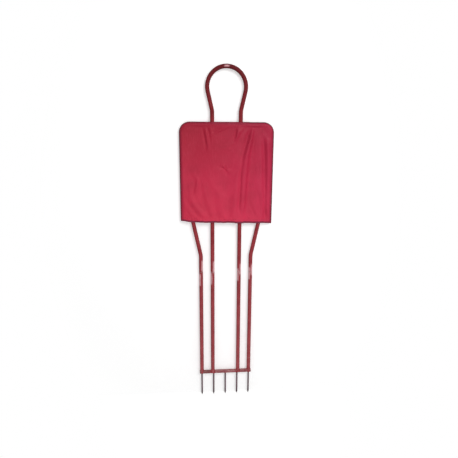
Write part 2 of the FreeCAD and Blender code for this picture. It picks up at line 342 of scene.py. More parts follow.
def tube_welds(name, node, radius, joints, height, material):
    """Beads round the ends of the level tubes.

    joints holds each standing tube's x, the side that it is met on and its lean.
    """
    heap = Heap()
    for host_x, side, lean in joints:
        heap.add(*weld_bead(*saddle(radius, host_x, side, height, lean), tube_bead, closed_path=True))
    bead_piece(name, node, heap, "torso_frame", material)


# Vest: its shape before it settles


hem_drawn_up = 6.5 * MM
drawn_up_width = 80 * MM
slit_half_open = 6.5 * MM
slit_end_fade = 24 * MM

# The folds start this far from the seams, and have their full height this much further in
fold_margin = 4 * MM
fold_fade = 18 * MM


def smooth_step(value):
    value = np.clip(value, 0, 1)
    return value * value * (3 - 2 * value)


def hem_height(x):
    """The hem's line: it slopes to the right, is drawn up at its left end and waves a little."""
    share = (x - vest_left) / (vest_right - vest_left)
    drawn_up = hem_drawn_up * smooth_step((vest_left + drawn_up_width - x) / drawn_up_width)
    wave = 0.7 * MM * np.sin(x / (14 * MM)) + 0.5 * MM * np.sin(x / (5.3 * MM) + 1)
    return hem_left + share * (hem_right - hem_left) + drawn_up + wave


def edge_places():
    """Distances from a rolled edge, evenly spaced along the cloth as it turns over the tube."""
    angles = np.linspace(0, math.pi / 2, roll_steps + 1)
    return cloth_gap * (1 - np.cos(angles))


def sheet_lines():
    """Distances of the grid's lines: across from the left edge, and down from the shoulder."""
    edge = edge_places()
    width = vest_right - vest_left
    height = vest_top - hem_right
    inner = np.linspace(cloth_gap, width - cloth_gap, round((width - 2 * cloth_gap) / grid_spacing) + 1)
    across = np.concatenate([edge[:-1], inner, width - edge[-2::-1]])
    drop = np.linspace(cloth_gap, height, round((height - cloth_gap) / grid_spacing) + 1)
    return across, np.concatenate([edge[:-1], drop])


class Fold:
    """A soft fold: its crest's points from the top down in millimetres, and its shape across."""

    def __init__(self, crest, width, rise, steep=1.0, valley=0.0):
        self.crest = crest
        self.width = width
        self.rise = rise
        self.steep = steep
        self.valley = valley

    def relief(self, x, z):
        """Height of the fold over the flat cloth, with its steep side to the left if steep < 1."""
        points = np.array(self.crest[::-1], float) * MM
        middle_x = np.interp(z, points[:, 1], points[:, 0])
        low, high = points[0, 1], points[-1, 1]
        reach = min(60 * MM, (high - low) / 2)
        along = smooth_step((z - low) / reach + 0.15) * smooth_step((high - z) / reach + 0.15)
        offset = (x - middle_x) / (self.width * MM)
        offset = np.where(offset < 0, offset / self.steep, offset)
        ridge = np.exp(-offset ** 2)
        trough = np.exp(-((offset + 1.9) / 0.9) ** 2)
        return self.rise * MM * along * (ridge - self.valley * trough)


front_folds = [
    Fold([(140, 1446), (130, 1382), (115, 1330), (103, 1278), (94, 1188), (91, 1108), (86, 980)],
         width=13.5, rise=7.5, steep=0.7, valley=0.5),
    Fold([(217, 1392), (220, 1345), (224, 1268), (226, 1161), (230, 1080), (232, 1025), (236, 935)],
         width=12, rise=5.8, steep=0.85, valley=0.7),
    Fold([(-116, 1446), (-106, 1401), (-96, 1345), (-94, 1305)], width=9, rise=4.5, steep=0.75, valley=0.6),
    Fold([(-90, 1446), (-82, 1410), (-80, 1375)], width=8, rise=3.0, steep=0.7, valley=0.3),
    Fold([(64, 1446), (58, 1402), (50, 1350)], width=9, rise=4.5, steep=0.7, valley=0.6),
    Fold([(12, 1447), (-22, 1428), (-52, 1410), (-78, 1396)], width=15, rise=3.4, steep=0.8, valley=0.3),
    Fold([(-145, 1190), (-156, 1130), (-173, 1070)], width=10, rise=3.0, steep=0.8, valley=0.5),
    Fold([(-206, 1090), (-176, 1030), (-128, 975), (-104, 935)], width=24, rise=3.4, steep=0.8),
    Fold([(-30, 1120), (-22, 1020), (-26, 932)], width=32, rise=2.4, steep=0.8),
    Fold([(36, 1110), (42, 1010), (38, 932)], width=22, rise=1.8, steep=0.8),
]

back_folds = [
    Fold([(-128, 1444), (-116, 1370), (-98, 1250), (-92, 1120), (-96, 1000)],
         width=14, rise=5.0, steep=0.7, valley=0.4),
    Fold([(120, 1446), (112, 1390), (104, 1330)], width=8, rise=3.5, steep=0.7, valley=0.4),
    Fold([(-40, 1440), (-36, 1400), (-26, 1350)], width=8, rise=3.0, steep=1.5),
    Fold([(170, 1210), (150, 1120), (138, 1010), (134, 930)], width=20, rise=4.0, steep=0.8, valley=0.2),
    Fold([(-205, 1350), (-210, 1200), (-204, 1060), (-214, 940)], width=11, rise=4.0, steep=0.7),
    Fold([(40, 1180), (26, 1060), (30, 932)], width=30, rise=3.0),
]


def slit_depth(x):
    """How far from the middle the neck's edge stands: wide at the uprights, nearly shut between."""
    beside = np.abs(np.abs(x) - inner_leg_x)
    at_upright = tube_radius + 1.6 * MM
    away = smooth_step((beside - 9 * MM) / (22 * MM))
    return slit_half_open + (at_upright - slit_half_open) * (1 - away)


def sheet_shape(facing, folds):
    """Grid of points of one side of the vest, from the shoulder down and from left to right."""
    across, down = sheet_lines()
    drop, side = np.meshgrid(down, across, indexing="ij")
    x = vest_left + side
    to_left, to_right = side, (vest_right - vest_left) - side
    to_edge = np.minimum(np.minimum(to_left, to_right), drop)

    full = down[-1] - shoulder_corner
    wanted = vest_top - hem_height(x) - shoulder_corner
    z = vest_top - np.where(
        drop < shoulder_corner, drop, shoulder_corner + (drop - shoulder_corner) * wanted / full
    )

    up = np.clip(1 - drop / shoulder_corner, 0, 1)
    for distance, centre_x, outward in (
        (to_left, vest_left + shoulder_corner, -1),
        (to_right, vest_right - shoulder_corner, 1),
    ):
        out = np.clip(1 - distance / shoulder_corner, 0, 1)
        reach = np.maximum(out, up)
        in_corner = (out > 0) & (up > 0)
        lower = np.minimum(out, up) / np.maximum(reach, 1e-9)
        angle = np.where(up <= out, lower, 2 - lower) * math.pi / 4
        x = np.where(in_corner, centre_x + outward * shoulder_corner * reach * np.cos(angle), x)
        z = np.where(in_corner, vest_top - shoulder_corner * (1 - reach * np.sin(angle)), z)

    turn = 1 - np.minimum(to_edge, cloth_gap) / cloth_gap
    rolled = cloth_gap * np.sqrt(np.maximum(1 - turn ** 2, 0))
    leaning = slit_depth(x) + (cloth_gap - slit_depth(x)) * smooth_step(drop / (1.6 * cloth_gap))
    open_share = smooth_step((neck_slit_half - np.abs(x)) / slit_end_fade)
    depth = rolled + (leaning - rolled) * open_share * (drop < 1.6 * cloth_gap)

    inside = smooth_step((to_edge - fold_margin) / fold_fade)
    depth = depth + inside * sum(fold.relief(x, z) for fold in folds)
    return np.stack([x, facing * depth, z], axis=-1)


# Vest: how it settles on the frame


# A light cloth that hardly stretches: it is pinned at its seams and drawn up at its stitched lines
settle_frames = 20
cloth_settings = {
    "quality": 5,
    "mass": 0.01,
    "air_damping": 1.0,
    "tension_stiffness": 30,
    "compression_stiffness": 20,
    "shear_stiffness": 8,
    "bending_stiffness": 0.05,
    "vertex_group_mass": "pins",
    "vertex_group_shrink": "drawn",
    "shrink_min": 0.0,
    "shrink_max": 0.012,
}


def side_and_shoulder_path():
    """Centres of the tubes under the vest's edge: from the left hip, over the shoulders, to the right."""
    turns = np.radians(np.linspace(0, 90, 7))
    bend_x = side_tube_x - shoulder_bend
    bend_z = shoulder_height - shoulder_bend
    bend = [(bend_x + shoulder_bend * math.cos(t), bend_z + shoulder_bend * math.sin(t)) for t in turns]
    hip = [(outer_leg_x, hip_height), (side_tube_x, waist_height)]
    right = hip + bend + [(inner_leg_x, shoulder_height)]
    left = [(-x, z) for x, z in right]
    return np.array([(x, 0, z) for x, z in left + right[::-1]])


def tube_paths():
    """Middles of the tubes under the vest: the outer one, and the two inner uprights."""
    foot, head = hem_right - 50 * MM, vest_top + 30 * MM
    uprights = [np.array([(x, 0, foot), (x, 0, head)]) for x in (-inner_leg_x, inner_leg_x)]
    return [side_and_shoulder_path()] + uprights


def collider(path):
    """A solid rod in a tube's place, for the cloth to lie on."""
    rod = new_object("rod", *round_rod(path, tube_radius, 24))
    rod.modifiers.new("Collision", "COLLISION")
    rod.collision.thickness_outer = 0.6 * MM
    rod.collision.thickness_inner = 5 * MM
    rod.collision.cloth_friction = 20
    return rod


def vest_grid():
    """The vest's points, and each side's grid of vertex numbers. The sides share their seams."""
    front = sheet_shape(-1, front_folds)
    back = sheet_shape(1, back_folds)
    front_index = numbered(front)
    back_index = front_index + front_index.size
    seam = np.zeros(front_index.shape, bool)
    seam[:, [0, -1]] = True
    seam[0] = np.abs(front[0, :, 0]) >= neck_slit_half
    back_index = np.where(seam, front_index, back_index)
    points = np.concatenate([front.reshape(-1, 3), back.reshape(-1, 3)])
    points[front_index[seam], 1] = 0
    return points, front_index, back_index, seam


def settled(points, front_index, back_index, seam):
    """The cloth's points after it has hung and drawn up at its seams."""
    used = np.unique(np.concatenate([front_index.ravel(), back_index.ravel()]))
    renumber = np.zeros(len(points), int)
    renumber[used] = np.arange(len(used))
    faces = grid_faces(renumber[front_index]) + grid_faces(renumber[back_index][:, ::-1])
    cloth = new_object("cloth", points[used], faces)

    pins = cloth.vertex_groups.new(name="pins")
    drawn = cloth.vertex_groups.new(name="drawn")
    drawn.add(list(range(len(used))), 0.0, "REPLACE")
    pins.add(renumber[front_index[seam]].tolist(), 1.0, "REPLACE")
    hem_row = len(front_index) - 1
    hem_top_row = hem_row - round(hem_band / grid_spacing)
    for index in (front_index, back_index):
        for row in (hem_row, hem_top_row, 1):
            drawn.add(renumber[index[row]].tolist(), 1.0, "REPLACE")

    rods = [collider(path) for path in tube_paths()]
    modifier = cloth.modifiers.new("Cloth", "CLOTH")
    for setting, value in cloth_settings.items():
        setattr(modifier.settings, setting, value)
    modifier.collision_settings.distance_min = 1.2 * MM
    modifier.collision_settings.collision_quality = 3
    modifier.point_cache.frame_start = 1
    modifier.point_cache.frame_end = settle_frames
    scene = bpy.context.scene
    for step in range(1, settle_frames + 1):
        scene.frame_set(step)
    hung = cloth.evaluated_get(bpy.context.evaluated_depsgraph_get())
    moved = np.zeros(len(used) * 3)
    hung.data.vertices.foreach_get("co", moved)
    moved = moved.reshape(-1, 3)
    for stand_in in [cloth] + rods:
        bpy.data.objects.remove(stand_in)
    scene.frame_set(1)
    result = points.copy()
    result[used] = moved
    return result


# How far a point may settle, and the share of each fold that is creased in afterwards
cloth_travel = 9 * MM
kept_crease = 0.45


def halved(points, axis):
    """The grid with twice as many lines across one axis, smoothed as it is refined."""
    points = np.moveaxis(points, axis, 0)
    fine = np.zeros((2 * len(points) - 1,) + points.shape[1:])
    fine[::2] = points
    fine[2:-1:2] = (points[:-2] + 6 * points[1:-1] + points[2:]) / 8
    fine[1::2] = (points[:-1] + points[1:]) / 2
    return np.moveaxis(fine, 0, axis)


def surface_normals(grid, facing):
    return facing * unit(np.cross(np.gradient(grid, axis=1), np.gradient(grid, axis=0)))


def puckers(grid):
    """Height of the small gathers along the seams, which the stitching draws up."""
    x, z = grid[..., 0], grid[..., 2]
    over_hem = z - hem_height(x) - hem_band
    gather = np.sin(x / (2.1 * MM) + 1.3 * np.sin(x / (17 * MM))) * np.exp(-np.abs(over_hem) / (9 * MM))
    beside = np.minimum(x - vest_left, vest_right - x)
    beside_gather = np.sin(z / (2.6 * MM) + 1.5 * np.sin(z / (23 * MM))) * np.exp(-beside / (16 * MM))
    strength = 0.5 + 0.5 * np.sin(x / (31 * MM) + 0.7)
    return 0.45 * MM * gather * strength + 0.3 * MM * beside_gather * smooth_step(beside / (12 * MM))


star_x = -7.5 * MM
star_z = 1220 * MM
star_reach = 27 * MM
star_rise = 4.2 * MM
star_dimple = 3.4 * MM


def star(grid):
    """Height of the small radial wrinkle in the middle of the front, with a dimple at its centre."""
    x = grid[..., 0] - star_x
    z = grid[..., 2] - star_z
    reach = np.hypot(x, z)
    turn = np.arctan2(z, x)
    arms = np.cos(3 * turn + 0.9) + 0.5 * np.cos(5 * turn + 2.0)
    ends = (reach / (reach + 5 * MM)) * np.exp(-(reach / star_reach) ** 1.5)
    return star_rise * arms * ends - star_dimple * np.exp(-(reach / (8 * MM)) ** 2)


# Folds deeper than the first value are pressed down towards the second
proud_start = 19 * MM
proud_limit = 25.5 * MM


def held_in(grid):
    """The grid with its tallest folds pressed down, so that the vest stays within its depth."""
    depth = np.abs(grid[..., 1])
    room = proud_limit - proud_start
    pressed = proud_start + room * np.tanh(np.maximum(depth - proud_start, 0) / room)
    result = grid.copy()
    result[..., 1] = np.sign(grid[..., 1]) * np.where(depth > proud_start, pressed, depth)
    return result


def clear_of_tubes(grid):
    """The grid, moved out where it would lie inside a tube or too close to it."""
    flat = grid[..., [0, 2]]
    nearest = np.full(grid.shape[:2], np.inf)
    for path in tube_paths():
        for start, end in zip(path[:-1, [0, 2]], path[1:, [0, 2]]):
            along = end - start
            share = np.clip((flat - start) @ along / (along @ along), 0, 1)
            nearest = np.minimum(nearest, np.linalg.norm(flat - start - share[..., None] * along, axis=-1))
    clear = tube_radius + cloth_thickness / 2 + tube_clearance
    needed = np.sqrt(np.maximum(clear ** 2 - nearest ** 2, 0))
    result = grid.copy()
    result[..., 1] = np.where(np.abs(grid[..., 1]) < needed, np.sign(grid[..., 1]) * needed, grid[..., 1])
    return result


def vest_surfaces():
    """Grids of the settled vest's two sides, with their creases and the gathers at the seams."""
    points, front_index, back_index, seam = vest_grid()
    moved = settled(points, front_index, back_index, seam)
    travel = moved - points
    length = np.linalg.norm(travel, axis=1, keepdims=True)
    points = points + travel * np.minimum(1, cloth_travel / np.maximum(length, 1e-9))
    surfaces = []
    for index, facing, folds in ((front_index, -1, front_folds), (back_index, 1, back_folds)):
        grid = halved(halved(points[index], 0), 1)
        normals = surface_normals(grid, facing)
        beside = np.minimum(grid[..., 0] - vest_left, vest_right - grid[..., 0])
        to_edge = np.minimum(beside, vest_top - grid[..., 2])
        inside = smooth_step((to_edge - fold_margin) / fold_fade)
        relief = kept_crease * sum(fold.relief(grid[..., 0], grid[..., 2]) for fold in folds)
        relief = relief + puckers(grid)
        if facing < 0:
            relief = relief + star(grid)
        grid = grid + normals * (relief * inside)[..., None]
        surfaces.append(clear_of_tubes(held_in(grid)))
    return surfaces


def vest_sheet(name, grid, facing, node, material):
    """One side of the vest as a thin sheet of cloth."""
    index = numbered(grid)
    faces = grid_faces(index if facing < 0 else index[:, ::-1])
    piece = new_piece(name, grid.reshape(-1, 3), faces, "vest", "vest_cloth", material)
    solid = piece.modifiers.new("Thickness", "SOLIDIFY")
    solid.thickness = cloth_thickness
    solid.offset = 0
    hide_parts(node)
    return piece


# Vest: hems, bound seams and stitches


def hem_profile(width, stitch_row):
    """A turned hem's outline in millimetres: distance in from the edge, and height off the cloth."""
    return np.array([
        (width + 0.6, 0.2), (width - 0.2, 0.5), (stitch_row + 1.3, 0.95), (stitch_row + 0.5, 0.8),
        (stitch_row, 0.62), (stitch_row - 0.5, 0.8), (stitch_row - 1.4, 1.05), (stitch_row - 4, 1.3),
        (stitch_row / 2, 1.4), (3.5, 1.35), (1.4, 1.25), (0.2, 1.0), (-0.5, 0.55), (-0.75, 0.0),
        (-0.5, -0.55), (0.2, -0.95), (1.4, -1.15), (3.5, -1.2), (stitch_row / 2, -1.2),
        (stitch_row - 1.2, -1.0), (stitch_row, -0.8), (stitch_row + 1.2, -0.9), (width - 0.4, -0.85),
        (width, -0.5),
    ]) * MM


# Rows of stitches: distance in from the edge, and height off the cloth
hem_stitches = (19 * MM, 0.75 * MM)
hem_tape_stitches = (7.0 * MM, 1.95 * MM)
neck_stitches = (9 * MM, 0.75 * MM)
side_tape_stitches = (5.6 * MM, 0.95 * MM)

# The narrow tape rolled over the hem's fold: distance in from the edge, and height off the cloth
hem_tape = np.array([
    (9.0, 1.75), (8.6, 2.0), (7.6, 2.0), (7.0, 1.8), (6.4, 2.0), (4.0, 2.15), (1.5, 2.1), (0.0, 1.75),
    (-1.0, 1.0), (-1.35, 0.0), (-1.0, -1.0), (0.0, -1.65), (1.5, -1.95), (6.4, -1.85), (7.0, -1.65),
    (8.6, -1.8), (9.0, -1.5), (8.8, -0.9), (4.0, 0.0), (8.8, 1.0),
]) * MM


class Edge:
    """The cloth beside one of its free edges, with the edge as the first row."""

    def __init__(self, grid, facing):
        columns = grid.shape[1]
        wanted = np.linspace(0, columns - 1, 2 * columns - 1)
        normals = surface_normals(grid, facing)
        self.rows = self.resample(grid, wanted)
        self.normals = unit(self.resample(normals, wanted))
        self.reach = path_lengths(self.rows)
        self.along = path_lengths(self.rows[0])

    @staticmethod
    def resample(grid, wanted):
        low = np.minimum(wanted.astype(int), grid.shape[1] - 2)
        share = (wanted - low)[None, :, None]
        return grid[:, low] * (1 - share) + grid[:, low + 1] * share

    def inward(self, rows, distance):
        """The rows' values at a distance in from the edge, for every place along it."""
        return np.array([
            read_along(self.reach[:, column], rows[:, column], distance) for column in range(rows.shape[1])
        ])

    def at(self, distance, height):
        """Points over the cloth. A distance below zero lies beyond the edge."""
        base = self.inward(self.rows, max(distance, 0))
        normal = unit(self.inward(self.normals, max(distance, 0)))
        beyond = unit(self.rows[0] - self.inward(self.rows, 2 * MM))
        return base + normal * np.reshape(height, (-1, 1)) + beyond * max(-distance, 0), normal


def folded_band(name, edge, profile, slot, material, roping, roped_width):
    """A closed band folded over the cloth's free edge.

    The sewing ropes it: up to its stitches it swells in slanted waves.
    """
    rings = []
    for distance, height in profile:
        hump = math.sin(math.pi * min(max(distance / roped_width, 0), 1))
        phase = (edge.along + 0.8 * distance) / (2.3 * MM) + 1.2 * np.sin(edge.along / (19 * MM))
        swell = 1 + roping * hump * np.sin(phase) if height > 0 else 1
        rings.append(edge.at(distance, height * swell + 0 * edge.along)[0])
    return new_piece(name, *ringed(np.stack(rings, axis=1)), "vest", slot, material)


def stitch_shape():
    """One stitch along X, its middle standing up along Z: a short arched thread."""
    shares = np.linspace(-1, 1, 7)
    path = np.stack([shares * 0.40 * stitch_pitch, 0 * shares, (0.3 - 0.85 * shares ** 4) * MM], axis=-1)
    return round_rod(path, thread_radius, 6)


def sew(heap, points, normals):
    """Add a row of stitches along a line of points on the cloth."""
    along = path_lengths(points)
    places = np.arange(stitch_pitch, along[-1] - stitch_pitch / 2, stitch_pitch)
    centre = read_along(along, points, places)
    normal = unit(read_along(along, normals, places))
    tangent = unit(read_along(along, path_tangents(points), places))
    across = unit(np.cross(normal, tangent))
    shape, faces = stitch_shape()
    for place, t, a, n in zip(centre, tangent, across, normal):
        heap.add(place + shape @ np.stack([t, a, n]), faces)


def stitched(name, heap, material):
    return new_piece(name, heap.points, heap.faces, "vest", "vest_binding", material)


# A bias tape folded over the seam's raw edges, the same in front and behind. Its rib stands on the
# seam, and its flaps lie on the cloth: distance from the seam and height, in millimetres
tape_rib = [(0.0, 2.1), (0.65, 1.98), (1.25, 1.6), (1.6, 1.2)]
tape_flap = [
    (2.4, 0.95), (4.0, 1.0), (5.2, 0.95), (5.6, 0.8), (6.0, 0.95), (7.0, 0.98), (7.4, 0.7), (7.45, 0.2),
]
tape_inside = [(6.0, -0.15), (3.0, -0.3)]


def seam_line(grid, left):
    """The seam's line: up one side of the vest and along the shoulder to the neck slit's end."""
    column = 0 if left else -1
    up_side = grid[::-1, column]
    top = grid[0, 1:] if left else grid[0, -2::-1]
    top = top[np.abs(top[:, 0]) >= neck_slit_half - 1 * MM]
    line = np.concatenate([up_side, top])
    line[:, 1] = 0
    return line


def sheet_tree(grid):
    """The cloth's surface, ready to be asked for its nearest point."""
    return BVHTree.FromPolygons(grid.reshape(-1, 3).tolist(), grid_faces(numbered(grid)))


def on_cloth(tree, line, outward, facing, distance, height):
    """Points over the cloth at a distance from the seam, with the cloth's outward direction."""
    turn = distance / cloth_gap
    guess = line - outward * cloth_gap * (1 - math.cos(turn))
    guess[:, 1] += facing * cloth_gap * math.sin(turn)
    facing_out = outward * math.cos(turn) + np.array([0, facing, 0]) * math.sin(turn)
    found = [tree.find_nearest(place)[:2] for place in guess]
    points = np.array([np.array(point) for point, _ in found])
    normals = np.array([np.array(normal) for _, normal in found])
    normals = normals * np.sign(np.sum(normals * facing_out, axis=1, keepdims=True))
    return points + normals * height, normals


def seam_binding(name, grids, left, node, material, thread):
    """The tape along one side and shoulder, and its two rows of stitches."""
    line = seam_line(grids[0], left)
    steps = np.linalg.norm(np.diff(line, axis=0), axis=-1)
    line = line[np.concatenate([[True], steps > 0.3 * MM])]
    tangent = path_tangents(line)
    outward = unit(np.cross(tangent, [0, 1.0, 0])) * (1 if left else -1)
    places = np.arange(len(line)) * grid_spacing / 2
    sway = np.sin(places / (21 * MM)) + 0.5 * np.sin(places / (9.7 * MM))
    trees = [sheet_tree(grid) for grid in grids]
    heap = Heap()
    sides = []
    for tree, facing in zip(trees, (-1, 1)):
        across_seam = np.array([0, facing, 0])
        rib = [line + outward * out * MM + across_seam * across * MM for across, out in tape_rib]
        flap = []
        for distance, height in tape_flap + tape_inside:
            swell = height * MM * (1 + 0.12 * sway[:, None])
            flap.append(on_cloth(tree, line, outward, facing, distance * MM, swell)[0])
        sew(heap, *on_cloth(tree, line, outward, facing, *side_tape_stitches))
        sides.append(rib + flap)
    under = line - outward * 0.5 * MM
    rings = np.stack(sides[0] + [under] + sides[1][:0:-1], axis=1)
    piece = new_piece(name, *ringed(rings), "vest", "vest_binding", material)
    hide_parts(node)
    return piece, stitched(name.replace("binding", "stitches"), heap, thread)


# Materials


def linear(hex_colour):
    """An sRGB colour such as "b02a45" as linear red, green, blue and alpha."""
    parts = [int(hex_colour[start:start + 2], 16) / 255 for start in (0, 2, 4)]
    return tuple(p / 12.92 if p <= 0.04045 else ((p + 0.055) / 1.055) ** 2.4 for p in parts) + (1,)


def in_use(sockets, wanted):
    """The socket with this name or number, among those that a node's options leave in use."""
    enabled = [socket for socket in sockets if socket.enabled]
    if isinstance(wanted, int):
        return enabled[wanted]
    return next(socket for socket in enabled if socket.name == wanted)


def add(tree, kind, values=None, links=None, stops=None, **options):
    """One shader node with its options, its sockets' values, its links and a ramp's stops.

    A link starts at the output that is given, or at a given node's first output.
    """
    node = tree.nodes.new("ShaderNode" + kind)
    for option, value in options.items():
        setattr(node, option, value)
    for socket, value in (values or {}).items():
        in_use(node.inputs, socket).default_value = value
    for socket, source in (links or {}).items():
        if isinstance(source, bpy.types.Node):
            source = in_use(source.outputs, 0)
        tree.links.new(source, in_use(node.inputs, socket))
    if stops:
        elements = node.color_ramp.elements
        elements[0].position, elements[0].color = stops[0]
        elements[1].position, elements[1].color = stops[-1]
        for place, colour in stops[1:-1]:
            elements.new(place).color = colour
    return node


def per_size(size_mm):
    """The scale of a pattern whose marks are this many millimetres apart."""
    return 1000 / size_mm


def wave_size(size_mm):
    """The scale of a wave texture whose bands are this many millimetres apart.

    At a scale of 1 they are 2 pi / 20 metres apart.
    """
    return 1000 * 2 * math.pi / 20 / size_mm


def start_material(name):
    """A material with no nodes yet but its place on the object, its node tree, and that place."""
    material = bpy.data.materials.new(name)
    material.use_nodes = True
    tree = material.node_tree
    tree.nodes.clear()
    return material, tree, add(tree, "TexCoord").outputs["Object"]


def red_enamel():
    """Air-drying alkyd enamel, sprayed on drawn steel tube and 0.06 mm thick.

    Weather has dulled its gloss. It has orange peel, slight sags down the tube and stone chips.
    The frame is taken apart at the plug joints, where handling has scraped the paint pale. The paint
    is also painted lighter towards the foot and darker towards the top as painted light, and a pale
    glint is painted on the front of the top of the hoop as a painted highlight.
    """
    material, tree, place = start_material("red_alkyd_enamel")
    parts = add(tree, "SeparateXYZ", links={0: place}).outputs
    # Painted light: the paint is lighter towards the foot and darker towards the top of the hoop, standing
    # in for light that falls brighter low down
    height = add(tree, "MapRange", {"From Min": 0.0, "From Max": 1.75}, {"Value": parts["Z"]})
    painted_light_by_height = add(tree, "ValToRGB", links={0: height},
                    stops=[(0.0, linear("ae5156")), (0.3, linear("a14349")), (0.52, linear("98343b")),
                           (0.83, linear("8b272d")), (0.9, linear("7e242a")), (1.0, linear("60161b"))])
    patches = add(tree, "TexNoise", {"Scale": per_size(45), "Detail": 4.0}, {"Vector": place})
    thick = add(tree, "MapRange", {"From Min": 0.4, "From Max": 0.75, "To Max": 0.4}, {"Value": patches})
    sprayed = add(tree, "Mix", {"B": linear("5a1218")}, {"Factor": thick, "A": painted_light_by_height},
                  data_type="RGBA")

    # Each leg's own sideways distance from its middle
    beside = add(tree, "Math", links={0: parts["X"]}, operation="ABSOLUTE")
    outer = add(tree, "Math", {1: (inner_leg_x + outer_leg_x) / 2}, {0: beside}, operation="GREATER_THAN")
    centre = add(tree, "Math", {1: outer_leg_x - inner_leg_x, 2: inner_leg_x}, {0: outer},
                 operation="MULTIPLY_ADD")
    off = add(tree, "Math", links={0: beside, 1: centre}, operation="SUBTRACT")
    hand = add(tree, "Math", links={0: parts["X"]}, operation="SIGN")
    local = add(tree, "Math", links={0: off, 1: hand}, operation="MULTIPLY")

    # Rubbed marks: on the right just above the joint, and on the left just below it
    ragged = add(tree, "TexNoise", {"Scale": per_size(7), "Detail": 3.0}, {"Vector": place})
    fray = add(tree, "Math", {1: 0.9, 2: -0.45}, {0: ragged}, operation="MULTIPLY_ADD")
    streaked = add(tree, "Mapping", {"Scale": (1, 1, 0.12)}, {"Vector": place})
    scuffs = add(tree, "TexNoise", {"Scale": per_size(3.2), "Detail": 2.0}, {"Vector": streaked})
    scuff = add(tree, "Math", {1: 14 * MM, 2: -7 * MM}, {0: scuffs}, operation="MULTIPLY_ADD")
    scuffed = add(tree, "Math", links={0: local, 1: scuff}, operation="ADD")
    marks = []
    for middle_z, slope, half_length, side in (
        (24 * MM, 0.093, 33 * MM, 1),
        (-27 * MM, -0.12, 36 * MM, -1),
    ):
        level = add(tree, "Math", {1: slope}, {0: parts["X"], 2: parts["Z"]}, operation="MULTIPLY_ADD")
        level = add(tree, "Math", {1: seam_height + middle_z}, {0: level}, operation="SUBTRACT")
        level = add(tree, "Math", {1: 1 / half_length}, {0: level}, operation="MULTIPLY")
        level = add(tree, "Math", links={0: level}, operation="ABSOLUTE")
        level = add(tree, "Math", links={0: level, 1: fray}, operation="ADD")
        along = add(tree, "MapRange", {"From Min": 1.15, "From Max": 0.8}, {"Value": level},
                    interpolation_type="SMOOTHSTEP")
        round_side = add(tree, "MapRange", {"From Min": -0.5 * MM, "From Max": side * 6.0 * MM},
                         {"Value": scuffed}, interpolation_type="SMOOTHSTEP")
        marks.append(add(tree, "Math", links={0: along, 1: round_side}, operation="MULTIPLY"))
    at_joint = add(tree, "Math", links={0: marks[0], 1: marks[1]}, operation="MAXIMUM")

    # Painted highlight: a pale glint is painted on the front of the top of the hoop, where glossy paint
    # catches the lamp above
    glint_spread = add(tree, "Math", {1: 16 * MM}, {0: fray, 2: beside}, operation="MULTIPLY_ADD")
    glint_side = add(tree, "MapRange", {"From Min": 17 * MM, "From Max": 5 * MM}, {"Value": glint_spread},
                     interpolation_type="SMOOTHSTEP")
    glint_front = add(tree, "MapRange",
                      {"From Min": -0.86 * tube_radius, "From Max": -0.98 * tube_radius, "To Max": 0.9},
                      {"Value": parts["Y"]}, interpolation_type="SMOOTHSTEP")
    glint_high = add(tree, "Math", {1: hoop_top - 2.5 * tube_radius}, {0: parts["Z"]},
                     operation="GREATER_THAN")
    painted_glint = add(tree, "Math", links={0: glint_side, 1: glint_front}, operation="MULTIPLY")
    painted_glint = add(tree, "Math", links={0: painted_glint, 1: glint_high}, operation="MULTIPLY")
    # The pale marks at the joints are real wear; the mark on the top of the hoop is a painted highlight
    rubbed_and_glint = add(tree, "Math", links={0: at_joint, 1: painted_glint}, operation="MAXIMUM")
    worn_and_glinting = add(tree, "Mix", {"B": linear("d9a3a8")}, {"Factor": rubbed_and_glint, "A": sprayed}, data_type="RGBA")

    # Chips down to the steel: a broken ring at each joint, and small ones low on the legs
    from_joint = add(tree, "Math", {1: seam_height, 2: 2.5 * MM}, {0: parts["Z"]}, operation="COMPARE")
    low_down = add(tree, "MapRange", {"From Min": 0.35, "From Max": 0.0, "To Max": 0.09},
                   {"Value": parts["Z"]})
    stones = add(tree, "TexNoise", {"Scale": per_size(4.5), "Detail": 2.0}, {"Vector": place})
    joint_share = add(tree, "Math", {1: 0.2}, {0: from_joint}, operation="MULTIPLY")
    exposed = add(tree, "Math", links={0: stones, 1: low_down}, operation="ADD")
    exposed = add(tree, "Math", links={0: exposed, 1: joint_share}, operation="ADD")
    chips = add(tree, "MapRange", {"From Min": 0.735, "From Max": 0.75}, {"Value": exposed})
    colour = add(tree, "Mix", {"B": linear("8f8781")}, {"Factor": chips, "A": worn_and_glinting}, data_type="RGBA")

    gloss = add(tree, "MapRange", {"From Min": 0.3, "From Max": 0.7, "To Min": 0.42, "To Max": 0.56},
                {"Value": patches})
    rubbed_and_glint_gloss = add(tree, "Math", {1: 0.12}, {0: rubbed_and_glint, 2: gloss}, operation="MULTIPLY_ADD")

    # Orange peel is about 1.8 mm across, and a sag about 14 mm wide and five times as long
    peel = add(tree, "TexNoise", {"Scale": per_size(1.8), "Detail": 1.0}, {"Vector": place})
    stretched = add(tree, "Mapping", {"Scale": (1, 1, 0.2)}, {"Vector": place})
    sags = add(tree, "TexNoise", {"Scale": per_size(14), "Detail": 1.0}, {"Vector": stretched})
    sagged = add(tree, "Bump", {"Strength": 0.6, "Distance": 0.25 * MM}, {"Height": sags})
    peeled = add(tree, "Bump", {"Strength": 0.5, "Distance": 0.05 * MM},
                 {"Height": peel, "Normal": sagged})
    chipped = add(tree, "Bump", {"Strength": 0.8, "Distance": 0.08 * MM},
                  {"Height": chips, "Normal": peeled}, invert=True)
    shader = add(tree, "BsdfPrincipled", {"IOR": 1.5, "Specular IOR Level": 0.1},
                 {"Base Color": colour, "Roughness": rubbed_and_glint_gloss, "Normal": chipped})
    add(tree, "OutputMaterial", links={"Surface": shader})
    return material


